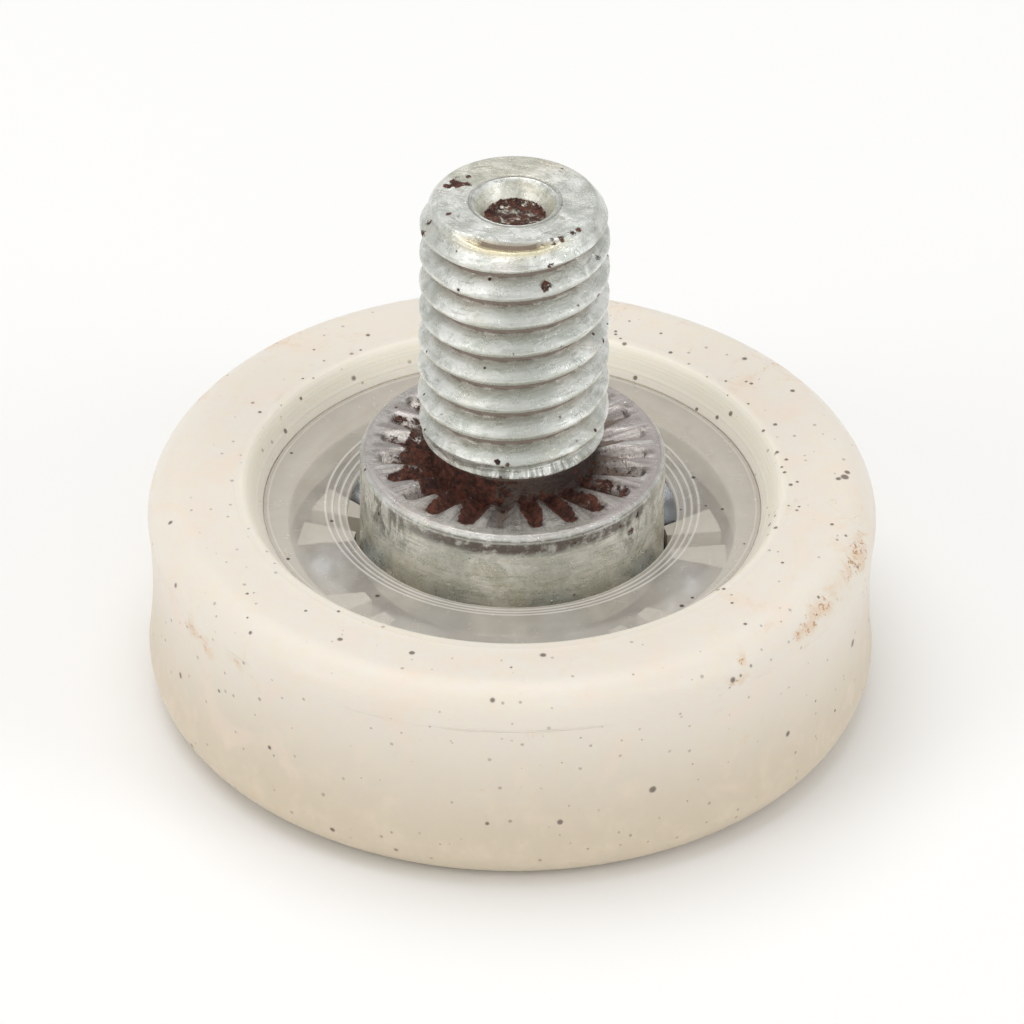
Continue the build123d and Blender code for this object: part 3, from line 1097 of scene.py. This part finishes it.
def stud_scratches(angle, radius, height):
    """Upright scratches on two sides of the collar and across the lowest turn of the thread."""
    low, high = COLLAR_SCRATCHES
    collar = facing(angle, SCRATCHED_SIDE) + 0.75 * facing(angle, FAINT_SCRATCHED_SIDE)
    collar = collar * (radius > COLLAR_RADIUS - SLACK)
    collar = collar * share(high - height, 0.15) * share(height - low, 0.5)
    low, high = THREAD_SCRATCHES
    ring = facing(angle, THREAD_SCRATCHED_SIDE) * (height > low) * (height < high)
    return np.clip(collar + 0.9 * ring * (radius > NECK_RADIUS + 0.2), 0, 1)


def collar_burr(angle, radius, height):
    """The rough brown band under the collar's edge, widest at the front, below a thin dark line."""
    front = facing(angle, BURRED_SIDE)
    depth = BURR_DEPTH + BURR_WAVER * wave_noise(angle, 0.0, 9, 5)
    band = share(height - (COLLAR_FACE - depth), 0.16) * (height < COLLAR_FACE - BURR_TOP)
    line = np.clip(1 - np.abs(height - (COLLAR_FACE - COLLAR_CHAMFER)) / 0.06, 0, 1)
    marked = np.maximum(band * (0.12 + 0.88 * front), line * (0.45 + 0.5 * front))
    return marked * (radius > COLLAR_RADIUS - 0.12)


def build_stud():
    piece = lathe("threaded_stud", stud_outline(), STUD_COLUMNS, stud_shape, closed=False)
    piece.data.materials.append(zinc_material())
    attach(piece, "axle")
    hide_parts("stud")


def build_bearing():
    """The balls and the cage, which show faintly through the shields."""
    steel = ball_material()
    for name in sorted(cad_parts):
        if not name.startswith("ball_") or name == "ball_cage":
            continue
        low, high = [Vector(corner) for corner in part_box(name)]
        mesh = bpy.data.meshes.new(f"bearing_{name}")
        piece = bpy.data.objects.new(f"bearing_{name}", mesh)
        bpy.context.scene.collection.objects.link(piece)
        make_ball(mesh, (low + high) / 2, (high.z - low.z) / 2)
        mesh.materials.append(steel)
        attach(piece, name)
        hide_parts(name)
    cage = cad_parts["ball_cage"]
    cage.data.materials.clear()
    cage.data.materials.append(cage_material())


def make_ball(mesh, centre, radius):
    work = bmesh.new()
    bmesh.ops.create_icosphere(work, subdivisions=5, radius=radius)
    bmesh.ops.translate(work, verts=work.verts, vec=centre)
    for face in work.faces:
        face.smooth = True
    work.to_mesh(mesh)
    work.free()


# Stage, light and camera

VIEW_ELEVATION = 35.6
VIEW_DISTANCE = 0.319
VIEW_TARGET = 0.00593
VIEW_ROLL = 0.6
VIEW_LENS = 371.2


def build_floor():
    size = FLOOR_HALF_WIDTH
    mesh = bpy.data.meshes.new("studio_floor")
    corners = [(-size, -size, 0), (size, -size, 0), (size, size, 0), (-size, size, 0)]
    mesh.from_pydata(corners, [], [(0, 1, 2, 3)])
    floor = bpy.data.objects.new("studio_floor", mesh)
    bpy.context.scene.collection.objects.link(floor)
    mesh.materials.append(floor_material())


def area_light(name, place, target, size, power, colour=(1, 1, 1)):
    light = bpy.data.lights.new(name, "AREA")
    light.shape = "RECTANGLE"
    light.size, light.size_y = size
    light.energy = power
    light.color = colour
    lamp = bpy.data.objects.new(name, light)
    bpy.context.scene.collection.objects.link(lamp)
    lamp.location = place
    lamp.rotation_euler = (Vector(target) - Vector(place)).to_track_quat("-Z", "Y").to_euler()


def build_lights():
    target = (0, 0, 0.008)
    area_light("top", (-0.06, 0.06, 0.40), target, (0.34, 0.34), 0.65, (1.0, 0.997, 0.992))
    area_light("key_left", (-0.30, -0.20, 0.20), target, (0.16, 0.22), 0.24, (1.0, 0.985, 0.96))
    area_light("front", (0.04, -0.34, 0.34), target, (0.3, 0.2), 0.07, (1.0, 0.99, 0.97))
    area_light("fill_right", (0.30, -0.16, 0.18), target, (0.12, 0.2), 0.20, (0.98, 0.99, 1.0))
    world = bpy.data.worlds.new("studio")
    bpy.context.scene.world = world
    world.use_nodes = True
    back = world.node_tree.nodes["Background"]
    back.inputs["Color"].default_value = (1.0, 0.998, 0.99, 1.0)
    back.inputs["Strength"].default_value = 0.57
    bpy.context.scene.view_settings.view_transform = "Standard"


def build_camera():
    camera_data = bpy.data.cameras.new("photo_view")
    camera_data.lens = VIEW_LENS
    camera_data.clip_start = 0.01
    camera_data.clip_end = 10
    camera = bpy.data.objects.new("photo_view", camera_data)
    bpy.context.scene.collection.objects.link(camera)
    tilt = math.radians(VIEW_ELEVATION)
    target = Vector((0, 0, VIEW_TARGET))
    camera.location = target + VIEW_DISTANCE * Vector((0, -math.cos(tilt), math.sin(tilt)))
    look = (target - camera.location).to_track_quat("-Z", "Y")
    camera.rotation_euler = (look.to_matrix().to_4x4() @ roll_matrix(VIEW_ROLL)).to_euler()
    bpy.context.scene.camera = camera


def roll_matrix(degrees):
    return Matrix.Rotation(math.radians(degrees), 4, "Z")


build_camera()
build_floor()
build_lights()
build_wheel()
build_shields()
build_stud()
build_bearing()
